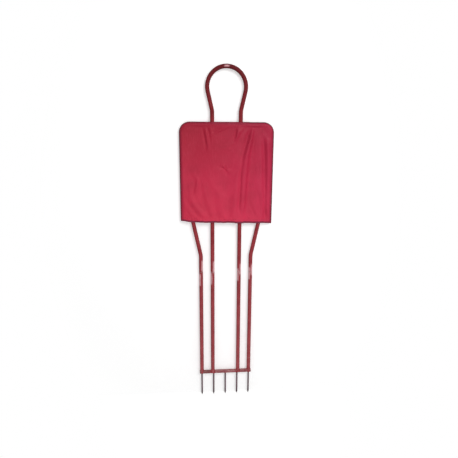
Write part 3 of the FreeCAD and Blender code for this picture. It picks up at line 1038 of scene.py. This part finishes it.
def worn_bar_enamel():
    """The same enamel on the base bar, which is trodden into turf.

    It is scoured dull and pinkish grey, brown with dried soil at the left, and still red where
    paint ran down from the inner legs. Its front top edge is painted pale as a painted highlight.
    """
    material, tree, place = start_material("worn_bar_enamel")
    parts = add(tree, "SeparateXYZ", links={0: place}).outputs
    scour = add(tree, "TexNoise", {"Scale": per_size(22), "Detail": 5.0, "Roughness": 0.65},
                {"Vector": place})
    scoured = add(tree, "ValToRGB", links={0: scour},
                  stops=[(0.3, linear("863f47")), (0.5, linear("9f595d")), (0.68, linear("b27879"))])

    # Soil: thick between the left legs, thinner to the right, and in specks
    leftward = add(tree, "MapRange",
                   {"From Min": -60 * MM, "From Max": -100 * MM, "To Min": 0.1, "To Max": 0.34},
                   {"Value": parts["X"]})
    specks = add(tree, "TexNoise", {"Scale": per_size(5), "Detail": 4.0, "Roughness": 0.7},
                 {"Vector": place})
    soil_level = add(tree, "Math", links={0: specks, 1: leftward}, operation="ADD")
    soil = add(tree, "MapRange", {"From Min": 0.62, "From Max": 0.8, "To Max": 0.55},
               {"Value": soil_level})
    soiled = add(tree, "Mix", {"B": linear("6b4b44")}, {"Factor": soil, "A": scoured}, data_type="RGBA")

    # Paint that ran down from the inner legs
    beside = add(tree, "Math", links={0: parts["X"]}, operation="ABSOLUTE")
    from_leg = add(tree, "Math", {1: inner_leg_x}, {0: beside}, operation="SUBTRACT")
    from_leg = add(tree, "Math", links={0: from_leg}, operation="ABSOLUTE")
    frayed = add(tree, "Math", {1: 14 * MM}, {0: scour, 2: from_leg}, operation="MULTIPLY_ADD")
    runs = add(tree, "MapRange", {"From Min": 24 * MM, "From Max": 18 * MM}, {"Value": frayed},
               interpolation_type="SMOOTHSTEP")
    painted = add(tree, "Mix", {"B": linear("93242f")}, {"Factor": runs, "A": soiled}, data_type="RGBA")

    # Painted highlight: the front top edge is painted pale, broken up by noise and weaker to the left, as
    # light catching the edge
    high = add(tree, "MapRange", {"From Min": bar_top - 2.6 * MM, "From Max": bar_top - 1.0 * MM},
               {"Value": parts["Z"]}, interpolation_type="SMOOTHSTEP")
    forward = add(tree, "MapRange",
                  {"From Min": -bar_half_width + 2.0 * MM, "From Max": -bar_half_width + 0.6 * MM},
                  {"Value": parts["Y"]})
    highlight_breaks = add(tree, "MapRange", {"From Min": 0.4, "From Max": 0.52, "To Max": 0.75}, {"Value": scour})
    edge = add(tree, "Math", links={0: high, 1: forward}, operation="MULTIPLY")
    edge = add(tree, "Math", links={0: edge, 1: highlight_breaks}, operation="MULTIPLY")
    rightward = add(tree, "MapRange", {"From Min": -60 * MM, "From Max": 40 * MM, "To Min": 0.1},
                    {"Value": parts["X"]})
    edge = add(tree, "Math", links={0: edge, 1: rightward}, operation="MULTIPLY")
    colour = add(tree, "Mix", {"B": linear("cfa9a6")}, {"Factor": edge, "A": painted}, data_type="RGBA")

    dull = add(tree, "MapRange", {"To Min": 0.45, "To Max": 0.85}, {"Value": soil})
    pitted = add(tree, "Bump", {"Strength": 0.7, "Distance": 0.12 * MM}, {"Height": specks})
    caked = add(tree, "Bump", {"Strength": 0.8, "Distance": 0.3 * MM}, {"Height": soil, "Normal": pitted})
    shader = add(tree, "BsdfPrincipled", {"IOR": 1.5, "Specular IOR Level": 0.25},
                 {"Base Color": colour, "Roughness": dull, "Normal": caked})
    add(tree, "OutputMaterial", links={"Surface": shader})
    return material


def spike_steel():
    """Hot-rolled mild steel rod, left bare: grey-brown mill scale, with soil-stained dark tips.

    Rolling leaves faint lines along the rod, about 1 mm apart, and the scale has flaked in spots.
    """
    material, tree, place = start_material("hot_rolled_spike_steel")
    parts = add(tree, "SeparateXYZ", links={0: place}).outputs
    stretched = add(tree, "Mapping", {"Scale": (1, 1, 0.06)}, {"Vector": place})
    lines = add(tree, "TexNoise", {"Scale": per_size(1.0), "Detail": 2.0}, {"Vector": stretched})
    flakes = add(tree, "TexNoise", {"Scale": per_size(9), "Detail": 6.0, "Roughness": 0.7},
                 {"Vector": place})
    scale = add(tree, "ValToRGB", links={0: flakes},
                stops=[(0.32, linear("604a50")), (0.5, linear("765f66")), (0.7, linear("957c84"))])
    stain = add(tree, "MapRange", {"From Min": spike_tip + 50 * MM, "From Max": spike_tip, "To Max": 0.8},
                {"Value": parts["Z"]}, interpolation_type="SMOOTHSTEP")
    colour = add(tree, "Mix", {"B": linear("4a4042")}, {"Factor": stain, "A": scale}, data_type="RGBA")
    metal = add(tree, "MapRange", {"From Min": 0.35, "From Max": 0.65, "To Min": 0.3, "To Max": 0.6},
                {"Value": flakes})
    rough = add(tree, "MapRange", {"To Min": 0.42, "To Max": 0.68}, {"Value": lines})
    rolled = add(tree, "Bump", {"Strength": 0.5, "Distance": 0.05 * MM}, {"Height": lines})
    flaked = add(tree, "Bump", {"Strength": 0.6, "Distance": 0.15 * MM},
                 {"Height": flakes, "Normal": rolled})
    shader = add(tree, "BsdfPrincipled",
                 links={"Base Color": colour, "Metallic": metal, "Roughness": rough, "Normal": flaked})
    add(tree, "OutputMaterial", links={"Surface": shader})
    return material


def plug_steel():
    """Cold-drawn steel of the plug joints: bright, with draw lines along it and rust in the scuffs."""
    material, tree, place = start_material("cold_drawn_plug_steel")
    stretched = add(tree, "Mapping", {"Scale": (1, 1, 0.02)}, {"Vector": place})
    lines = add(tree, "TexNoise", {"Scale": per_size(0.8), "Detail": 3.0}, {"Vector": stretched})
    spots = add(tree, "TexNoise", {"Scale": per_size(11), "Detail": 5.0, "Roughness": 0.7},
                {"Vector": place})
    drawn = add(tree, "ValToRGB", links={0: lines},
                stops=[(0.3, linear("8f8d8b")), (0.7, linear("bdbab6"))])
    rust = add(tree, "MapRange", {"From Min": 0.6, "From Max": 0.74, "To Max": 0.8}, {"Value": spots})
    colour = add(tree, "Mix", {"B": linear("6e4630")}, {"Factor": rust, "A": drawn}, data_type="RGBA")
    bright = add(tree, "Math", {1: -1.0, 2: 1.0}, {0: rust}, operation="MULTIPLY_ADD")
    rough = add(tree, "MapRange", {"To Min": 0.25, "To Max": 0.8}, {"Value": rust})
    scored = add(tree, "Bump", {"Strength": 0.4, "Distance": 0.03 * MM}, {"Height": lines})
    shader = add(tree, "BsdfPrincipled",
                 links={"Base Color": colour, "Metallic": bright, "Roughness": rough, "Normal": scored})
    add(tree, "OutputMaterial", links={"Surface": shader})
    return material


def vest_satin():
    """Polyester satin, piece-dyed crimson.

    Its warp floats run up the vest. They are 0.12 mm apart on the real cloth and are drawn ten
    times as coarse, so that they show. The cloth is painted darker towards the shoulder and along
    the edges where it turns over the frame, and lighter towards the hem, as painted light and shade.
    """
    material, tree, place = start_material("crimson_polyester_satin")
    parts = add(tree, "SeparateXYZ", links={0: place}).outputs
    # Painted light: the crimson is painted darker towards the shoulder and lighter towards the hem, standing
    # in for light falling brighter low down
    height = add(tree, "MapRange", {"From Min": hem_right, "From Max": vest_top}, {"Value": parts["Z"]})
    dyed = add(tree, "ValToRGB", links={0: height},
               stops=[(0.0, linear("dc3350")), (0.12, linear("d4304d")), (0.45, linear("c52845")),
                      (0.8, linear("ae1d35")), (1.0, linear("9d152b"))])
    across = add(tree, "MapRange", {"From Min": vest_left, "From Max": vest_right, "To Max": 0.4},
                 {"Value": parts["X"]})
    cooler = add(tree, "Mix", {"B": linear("b02650")}, {"Factor": across, "A": dyed}, data_type="RGBA")
    clouds = add(tree, "TexNoise", {"Scale": per_size(85), "Detail": 3.0}, {"Vector": place})
    cloud = add(tree, "MapRange", {"From Min": 0.4, "From Max": 0.7, "To Max": 0.22}, {"Value": clouds})
    clouded = add(tree, "Mix", {"B": linear("8c182c")}, {"Factor": cloud, "A": cooler}, data_type="RGBA")

    # Painted shade: the cloth is painted darker where it turns over the tubes at the sides and top, and a
    # little darker across its left part
    from_left = add(tree, "MapRange",
                    {"From Min": vest_left + 20 * MM, "From Max": vest_left, "To Max": 0.7},
                    {"Value": parts["X"]})
    leftward = add(tree, "MapRange",
                   {"From Min": vest_left + 160 * MM, "From Max": vest_left + 50 * MM, "To Max": 0.1},
                   {"Value": parts["X"]})
    from_right = add(tree, "MapRange",
                     {"From Min": vest_right - 17 * MM, "From Max": vest_right, "To Max": 0.75},
                     {"Value": parts["X"]})
    from_top = add(tree, "MapRange", {"From Min": vest_top - 16 * MM, "From Max": vest_top, "To Max": 0.6},
                   {"Value": parts["Z"]})
    left_shade = add(tree, "Math", links={0: from_left, 1: leftward}, operation="MAXIMUM")
    side_shade = add(tree, "Math", links={0: left_shade, 1: from_right}, operation="MAXIMUM")
    edge_shade = add(tree, "Math", links={0: side_shade, 1: from_top}, operation="MAXIMUM")
    edge_shaded = add(tree, "Mix", {"B": linear("6c1630")}, {"Factor": edge_shade, "A": clouded}, data_type="RGBA")

    # Slubs: slightly thicker threads, some 30 mm long
    long_ways = add(tree, "Mapping", {"Scale": (1, 1, 0.06)}, {"Vector": place})
    slubs = add(tree, "TexNoise", {"Scale": per_size(1.6), "Detail": 2.0}, {"Vector": long_ways})
    slub = add(tree, "MapRange", {"From Min": 0.5, "From Max": 0.75, "To Max": 0.3}, {"Value": slubs})
    colour = add(tree, "Mix", {"B": linear("d04560")}, {"Factor": slub, "A": edge_shaded}, data_type="RGBA")

    warp = add(tree, "TexWave", {"Scale": wave_size(1.2), "Distortion": 0.6, "Detail": 1.0},
               {"Vector": place}, bands_direction="X")
    weft = add(tree, "TexWave", {"Scale": wave_size(2.4), "Distortion": 0.6, "Detail": 1.0},
               {"Vector": place}, bands_direction="Z")
    weave = add(tree, "Math", {2: 0.2}, {0: warp.outputs["Fac"], 1: weft.outputs["Fac"]},
                operation="SMOOTH_MIN")
    rough = add(tree, "MapRange", {"To Min": 0.42, "To Max": 0.58}, {"Value": slubs})
    creased = add(tree, "TexNoise", {"Scale": per_size(16), "Detail": 3.0, "Roughness": 0.45},
                  {"Vector": place})
    crumpled = add(tree, "Bump", {"Strength": 0.5, "Distance": 0.6 * MM}, {"Height": creased})
    woven = add(tree, "Bump", {"Strength": 0.35, "Distance": 0.08 * MM},
                {"Height": weave, "Normal": crumpled})
    shader = add(tree, "BsdfPrincipled",
                 {"IOR": 1.5, "Specular IOR Level": 0.18, "Sheen Weight": 0.22, "Sheen Roughness": 0.4,
                  "Sheen Tint": linear("ff5f7c")},
                 {"Base Color": colour, "Roughness": rough, "Normal": woven})
    add(tree, "OutputMaterial", links={"Surface": shader})
    return material


def bias_tape(name, deep, pale):
    """Cotton twill tape cut on the bias: matt, unevenly dyed, with ribs 1 mm apart across it."""
    material, tree, place = start_material(name)
    slanted = add(tree, "Mapping", {"Rotation": (0, math.radians(38), 0)}, {"Vector": place})
    ribs = add(tree, "TexWave", {"Scale": wave_size(1.0), "Distortion": 0.8, "Detail": 1.0},
               {"Vector": slanted}, bands_direction="X")
    fade = add(tree, "TexNoise", {"Scale": per_size(30), "Detail": 3.0}, {"Vector": place})
    dyed = add(tree, "ValToRGB", links={0: fade}, stops=[(0.3, linear(deep)), (0.7, linear(pale))])
    # Painted shade: the grooves between the ribs are painted dark
    groove_shade = add(tree, "MapRange", {"To Min": 0.35, "To Max": 0.0}, {"Value": ribs.outputs["Fac"]})
    rib_shaded = add(tree, "Mix", {"B": linear("3f0b17")}, {"Factor": groove_shade, "A": dyed}, data_type="RGBA")
    raised = add(tree, "Bump", {"Strength": 0.6, "Distance": 0.12 * MM}, {"Height": ribs.outputs["Fac"]})
    shader = add(tree, "BsdfPrincipled",
                 {"Roughness": 0.8, "Specular IOR Level": 0.15, "Sheen Weight": 0.1},
                 {"Base Color": rib_shaded, "Normal": raised})
    add(tree, "OutputMaterial", links={"Surface": shader})
    return material


def sewing_thread():
    """Three-ply polyester sewing thread, 0.7 mm across and drawn so, with its twist every 1.1 mm."""
    material, tree, place = start_material("crimson_polyester_thread")
    slanted = add(tree, "Mapping", {"Rotation": (0, math.radians(35), 0)}, {"Vector": place})
    twist = add(tree, "TexWave", {"Scale": wave_size(1.1)}, {"Vector": slanted}, bands_direction="X")
    # Painted shade and highlight: the twist is painted dark in the grooves between the plies and light on
    # their crests
    colour = add(tree, "ValToRGB", links={0: twist.outputs["Fac"]},
                 stops=[(0.1, linear("5e1422")), (0.8, linear("b23350"))])
    raised = add(tree, "Bump", {"Strength": 0.6, "Distance": 0.1 * MM}, {"Height": twist.outputs["Fac"]})
    shader = add(tree, "BsdfPrincipled", {"Roughness": 0.5, "Specular IOR Level": 0.3},
                 {"Base Color": colour, "Normal": raised})
    add(tree, "OutputMaterial", links={"Surface": shader})
    return material


# Studio


world_level = 0.4
floor_half = 6
backdrop_half = 4
backdrop_top = 4.0
backdrop_depth = 20 * MM

# Each lamp's place, the point it looks at, its width in metres and its power in watts
lamps = {
    "key_light": ((1.0, -2.6, 2.6), (0, 0, 1.0), 1.5, 46),
    "fill_light": ((0.2, -2.6, 0.6), (0, 0, 0.7), 1.4, 8),
    "back_light": ((-1.3, 2.5, 2.6), (0, 0, 1.0), 1.5, 24),
}


def area_light(name, place, aim, size, watts):
    data = bpy.data.lights.new(name, "AREA")
    data.shape = "DISK"
    data.size = size
    data.energy = watts
    light = bpy.data.objects.new(name, data)
    light.location = place
    light.rotation_mode = "QUATERNION"
    light.rotation_quaternion = (Vector(aim) - Vector(place)).to_track_quat("-Z", "Y")
    bpy.context.scene.collection.objects.link(light)


def set_world():
    world = bpy.data.worlds.new("studio")
    world.use_nodes = True
    tree = world.node_tree
    tree.nodes.clear()
    path = add(tree, "LightPath").outputs
    seen = add(tree, "Math", links={0: path["Is Camera Ray"], 1: path["Is Glossy Ray"]})
    seen = add(tree, "Math", links={0: seen, 1: path["Is Transmission Ray"]}, use_clamp=True)
    lit = add(tree, "Background", {"Color": linear("ffffff"), "Strength": world_level})
    white = add(tree, "Background", {"Color": linear("ffffff"), "Strength": 1.0})
    mix = add(tree, "MixShader", links={0: seen, 1: lit, 2: white})
    add(tree, "OutputWorld", links={"Surface": mix})
    bpy.context.scene.world = world


def paper(name, one_sided, lift_strength):
    """Matt white studio paper, lifted to white round the object's shadow."""
    material, tree, place = start_material(name)
    diffuse = add(tree, "BsdfDiffuse", {"Color": linear("e7e7e7")})

    # Only the camera sees the lift, so it doesn't light the object
    lift = add(tree, "Emission", {"Strength": lift_strength})
    path = add(tree, "LightPath").outputs
    dark = add(tree, "Emission", {"Strength": 0.0})
    seen_lift = add(tree, "MixShader", links={0: path["Is Camera Ray"], 1: dark, 2: lift})
    lit = add(tree, "AddShader", links={0: diffuse, 1: seen_lift})

    # Away from the object the camera sees plain white
    white = add(tree, "Emission", {"Strength": 1.0})
    centred = add(tree, "Mapping", {"Location": (0, 0, -0.55), "Scale": (1, 1, 0.62)}, {"Vector": place})
    distance = add(tree, "VectorMath", links={0: centred}, operation="LENGTH")
    far = add(tree, "MapRange", {"From Min": 0.55, "From Max": 1.0}, {"Value": distance},
              interpolation_type="SMOOTHSTEP")
    far_seen = add(tree, "Math", links={0: far, 1: path["Is Camera Ray"]}, operation="MULTIPLY")
    shader = add(tree, "MixShader", links={0: far_seen, 1: lit, 2: white})

    # From behind, a one-sided sheet is clear, so that the object shows
    if one_sided:
        behind = add(tree, "NewGeometry").outputs["Backfacing"]
        clear = add(tree, "BsdfTransparent")
        shader = add(tree, "MixShader", links={0: behind, 1: shader, 2: clear})
    add(tree, "OutputMaterial", links={"Surface": shader})
    return material


def stage_sheet(name, corners, material):
    sheet = new_object(name, corners, [(0, 1, 2, 3)])
    sheet.data.materials.append(material)
    return sheet


def set_studio():
    set_world()
    bpy.context.scene.view_settings.view_transform = "Standard"
    for name, lamp in lamps.items():
        area_light(name, *lamp)
    low, far, wide, depth = spike_tip, floor_half, backdrop_half, backdrop_depth
    stage_sheet("floor", [(-far, -far, low), (far, -far, low), (far, far, low), (-far, far, low)],
                paper("floor_paper", one_sided=False, lift_strength=0.5))
    wall = stage_sheet(
        "backdrop",
        [(-wide, depth, low), (wide, depth, low), (wide, depth, backdrop_top), (-wide, depth, backdrop_top)],
        paper("backdrop_paper", one_sided=True, lift_strength=0.38))
    for ray in ("diffuse", "glossy", "transmission", "shadow", "volume_scatter"):
        setattr(wall, "visible_" + ray, False)


# Making


def paint_nodes(material, *starts):
    """Give a finish to the carried-over nodes whose names begin with these words."""
    for name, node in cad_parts.items():
        if name.startswith(starts):
            for slot in node.material_slots:
                slot.material = material


def make_vest(cloth, tape, hem_tape_material, thread):
    """The settled cloth, its bound seams, its hems and their stitches."""
    grids = vest_surfaces()
    bindings = []
    for side, left in (("left", True), ("right", False)):
        bindings += seam_binding("binding_" + side, grids, left, "edge_binding_" + side, tape, thread)
    edge_rows = round(3 * hem_band / grid_spacing)
    hem_shape = hem_profile(hem_band / MM, hem_stitches[0] / MM)
    neck_shape = hem_profile(neck_band / MM, neck_stitches[0] / MM)
    for side, grid, facing in (("front", grids[0], -1), ("back", grids[1], 1)):
        sheet = vest_sheet("vest_" + side, grid, facing, f"vest_{side}_panel", cloth)
        foot = Edge(grid[::-1][:edge_rows], -facing)
        hem = folded_band("hem_band_" + side, foot, hem_shape, "vest_cloth", cloth,
                          roping=0.16, roped_width=hem_stitches[0])
        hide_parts("hem_" + side)
        hem_edge = folded_band("hem_tape_" + side, foot, hem_tape, "vest_binding", hem_tape_material,
                               roping=0.08, roped_width=hem_tape_stitches[0])
        slit = np.abs(grid[0, :, 0]) <= neck_slit_half
        neck = Edge(grid[:edge_rows, slit], facing)
        neck_hem = folded_band("neck_band_" + side, neck, neck_shape, "vest_cloth", cloth,
                               roping=0.1, roped_width=neck_stitches[0])
        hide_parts("neck_hem_" + side)
        heap = Heap()
        sew(heap, *foot.at(*hem_stitches))
        sew(heap, *foot.at(*hem_tape_stitches))
        sew(heap, *neck.at(*neck_stitches))
        stitches = stitched("hem_stitches_" + side, heap, thread)


set_camera()
set_studio()
enamel = red_enamel()
bar_enamel = worn_bar_enamel()
paint_nodes(enamel, "leg_inner", "leg_outer", "side_tube", "head_hoop", "neck_bar", "waist_rung")
paint_nodes(bar_enamel, "base_bar", "bar_end_plate")
paint_nodes(spike_steel(), "spike")
paint_nodes(plug_steel(), "spigot")
leg_welds(enamel)
spike_welds(enamel)
inner_hosts = [(-inner_leg_x, 1, 0), (inner_leg_x, -1, 0)]
outer_hosts = [(-inner_leg_x, -1, 0), (inner_leg_x, 1, 0)]
splay = math.tan(hip_splay)
rung_side_x = outer_leg_x + (rung_height - hip_height) * splay
side_hosts = [(-rung_side_x, 1, -splay), (rung_side_x, -1, splay)]
rung_hosts = inner_hosts + outer_hosts + side_hosts
tube_welds("neck_bar_weld_beads", "neck_bar_welds", tube_radius, inner_hosts, shoulder_height, enamel)
tube_welds("shoulder_weld_beads", "shoulder_welds", tube_radius, outer_hosts, shoulder_height, enamel)
tube_welds("rung_weld_beads", "rung_welds", rung_radius, rung_hosts, rung_height, enamel)
# The bindings are real, but their dark tone also stands in for the shade along the vest's rolled edges and
# hem, as painted shade
side_tape = bias_tape("dark_crimson_bias_tape", "54101f", "6f1a2b")
hem_tape_cloth = bias_tape("dull_plum_bias_tape", "7e2a40", "96384f")
make_vest(vest_satin(), side_tape, hem_tape_cloth, sewing_thread())
